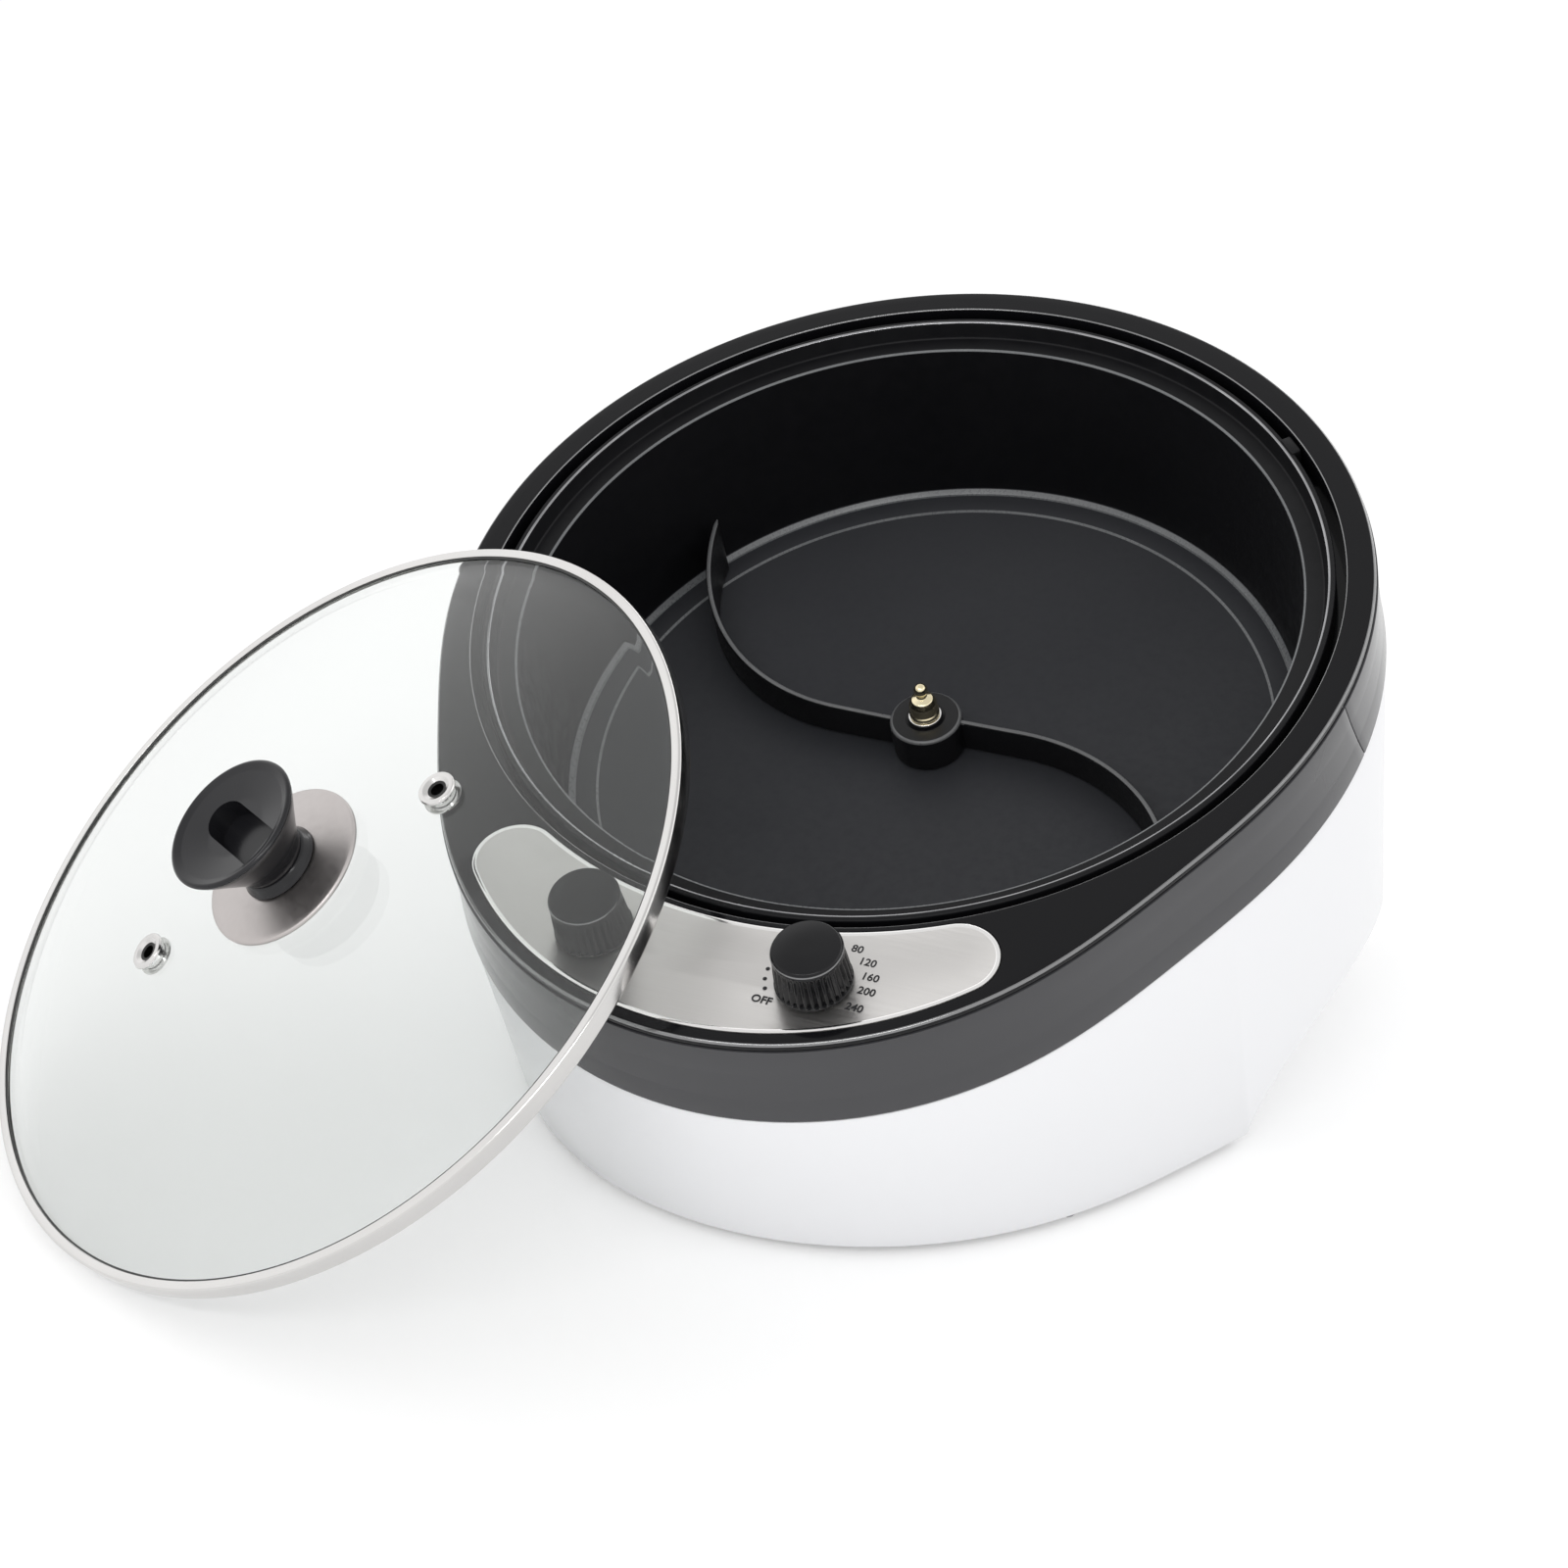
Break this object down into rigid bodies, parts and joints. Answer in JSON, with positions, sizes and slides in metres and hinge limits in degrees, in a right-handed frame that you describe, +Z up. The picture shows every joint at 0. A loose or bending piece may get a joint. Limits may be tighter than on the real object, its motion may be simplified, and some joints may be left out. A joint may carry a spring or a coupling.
{
  "type": "home coffee bean roaster",
  "caption": "Countertop bean roaster with a sloping round bowl, curved stirring arm, fluted controls on a crescent panel, white housing and a loose glass lid.",
  "frame": {"origin": "on the floor under the point where the bowl's axis meets the deck, in the middle of the middle foot's underside", "axes": "+X to the user's right, +Y to the back, +Z up; the controls face -Y"},
  "size_m": [0.4041, 0.4017, 0.2158],
  "materials": {
    "white_housing": "smooth white",
    "gloss_black": "polished black",
    "matte_black": "matt black",
    "bowl_coating": "matt black non-stick coating",
    "panel_steel": "brushed",
    "steel": "satin",
    "dark_steel": "dull",
    "aluminium": "mill finish",
    "brass": "polished",
    "rubber": "matt",
    "cream_plastic": "matt",
    "lid_glass": "clear, faintly green"
  },
  "bodies": {
    "housing": {"body_shell": "white_housing", "band_front": "gloss_black", "band_rear": "gloss_black", "deck_plate": "gloss_black", "bowl": "bowl_coating", "control_panel": "panel_steel", "base_cover": "matte_black", "foot_1": "rubber", "foot_2": "rubber", "foot_3": "rubber", "foot_4": "rubber", "foot_5": "rubber", "base_screw_1": "steel", "base_screw_2": "steel", "base_screw_3": "steel", "base_screw_4": "steel", "heating_element": "dark_steel", "heat_shield": "aluminium", "shaft_bushing": "brass", "gear_motor": "dark_steel", "motor_hanger": "steel", "motor_screw_1": "steel", "motor_screw_2": "steel", "thermostat": "cream_plastic", "stir_switch": "matte_black", "thermal_fuse": "cream_plastic", "terminal_block": "cream_plastic", "cord_gland": "rubber"},
    "stirring_arm": {"stirrer": "matte_black", "stirrer_washer": "steel", "cap_nut": "brass", "drive_shaft": "steel"},
    "heat_control": {"heat_knob": "gloss_black", "heat_spindle": "steel"},
    "stir_control": {"stir_knob": "gloss_black", "stir_spindle": "steel"},
    "lid": {"lid_glass": "lid_glass", "lid_rim": "steel", "vent_ring_a": "steel", "vent_ring_b": "steel", "knob_plate": "steel", "knob_collar": "gloss_black", "lid_knob": "gloss_black", "lid_screw": "steel", "lid_washer": "rubber"}
  },
  "joints": [
    {"name": "stirrer_turn", "type": "hinge", "parent": "housing", "child": "stirring_arm", "pos_m": [0, 0, 0.16], "axis": [0, -0.3811, 0.9245], "continuous": true},
    {"name": "heat_turn", "type": "hinge", "parent": "housing", "child": "heat_control", "pos_m": [0.035, -0.14319, 0.10098], "axis": [0, 0.3811, -0.9245], "range_deg": [0, 270]},
    {"name": "stir_turn", "type": "hinge", "parent": "housing", "child": "stir_control", "pos_m": [-0.035, -0.14319, 0.10098], "axis": [0, 0.3811, -0.9245], "range_deg": [0, 90]},
    {"name": "lid_lift", "type": "slide", "parent": "housing", "child": "lid", "axis": [0, 0, 1], "range_m": [0, 0.25]}
  ]
}
